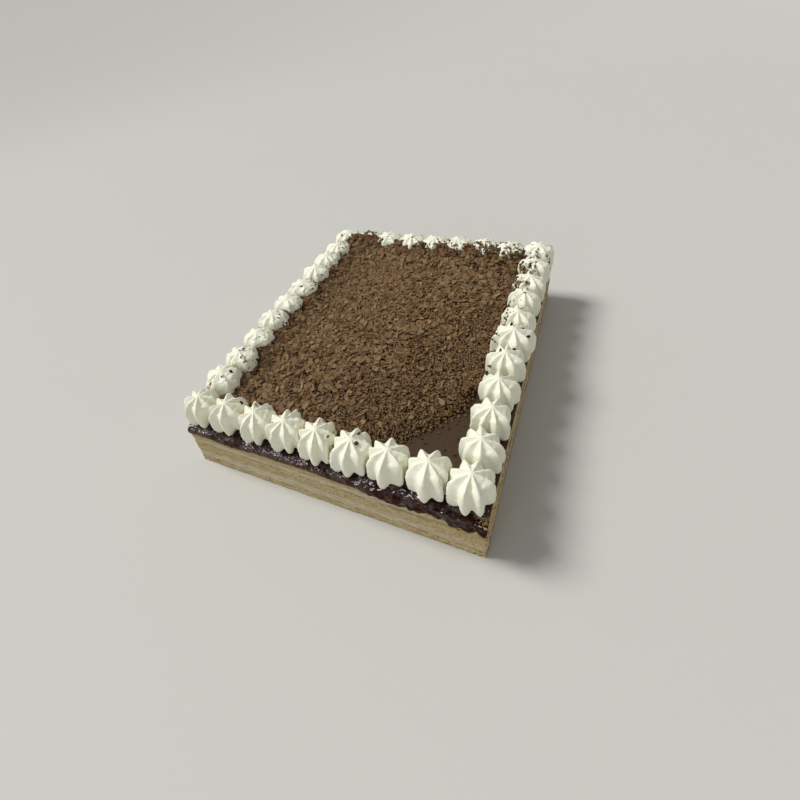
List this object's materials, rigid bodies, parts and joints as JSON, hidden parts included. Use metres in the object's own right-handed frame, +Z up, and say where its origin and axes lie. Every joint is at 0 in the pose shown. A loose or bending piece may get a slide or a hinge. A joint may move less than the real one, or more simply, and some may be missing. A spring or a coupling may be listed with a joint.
{
  "type": "sheet cake",
  "caption": "Layered sheet cake with chocolate glaze, a piped border of cream rosettes and a top heaped with chocolate flakes, for serving in squares.",
  "frame": {"origin": "centre of the whole cake's footprint on its resting face", "axes": "+Z up from the resting face to the rosettes, +Y from the front cut face to the back along the longer side, +X to the right"},
  "size_m": [0.315, 0.3922, 0.0891],
  "materials": {
    "sponge": "matte, open crumb",
    "cream_filling": "matte, smooth cream",
    "chocolate_glaze": "glossy poured chocolate",
    "chocolate_flakes": "matte shaved milk chocolate",
    "piped_cream": "soft satin whipped cream"
  },
  "bodies": {
    "root": {"sponge_bottom": "sponge", "cream_lower": "cream_filling", "sponge_middle": "sponge", "cream_upper": "cream_filling", "sponge_top": "sponge", "glaze": "chocolate_glaze", "flakes": "chocolate_flakes", "rosette_front_1": "piped_cream", "rosette_front_2": "piped_cream", "rosette_front_3": "piped_cream", "rosette_front_4": "piped_cream", "rosette_front_5": "piped_cream", "rosette_front_6": "piped_cream", "rosette_front_7": "piped_cream", "rosette_front_8": "piped_cream", "rosette_front_9": "piped_cream", "rosette_right_1": "piped_cream", "rosette_right_2": "piped_cream", "rosette_right_3": "piped_cream", "rosette_right_4": "piped_cream", "rosette_right_5": "piped_cream", "rosette_right_6": "piped_cream", "rosette_right_7": "piped_cream", "rosette_right_8": "piped_cream", "rosette_right_9": "piped_cream", "rosette_back_1": "piped_cream", "rosette_back_2": "piped_cream", "rosette_back_3": "piped_cream", "rosette_back_4": "piped_cream", "rosette_back_5": "piped_cream", "rosette_back_6": "piped_cream", "rosette_back_7": "piped_cream", "rosette_back_8": "piped_cream", "rosette_back_9": "piped_cream", "rosette_left_1": "piped_cream", "rosette_left_2": "piped_cream", "rosette_left_3": "piped_cream", "rosette_left_4": "piped_cream", "rosette_left_5": "piped_cream", "rosette_left_6": "piped_cream", "rosette_left_7": "piped_cream", "rosette_left_8": "piped_cream", "rosette_left_9": "piped_cream"}
  },
  "joints": []
}
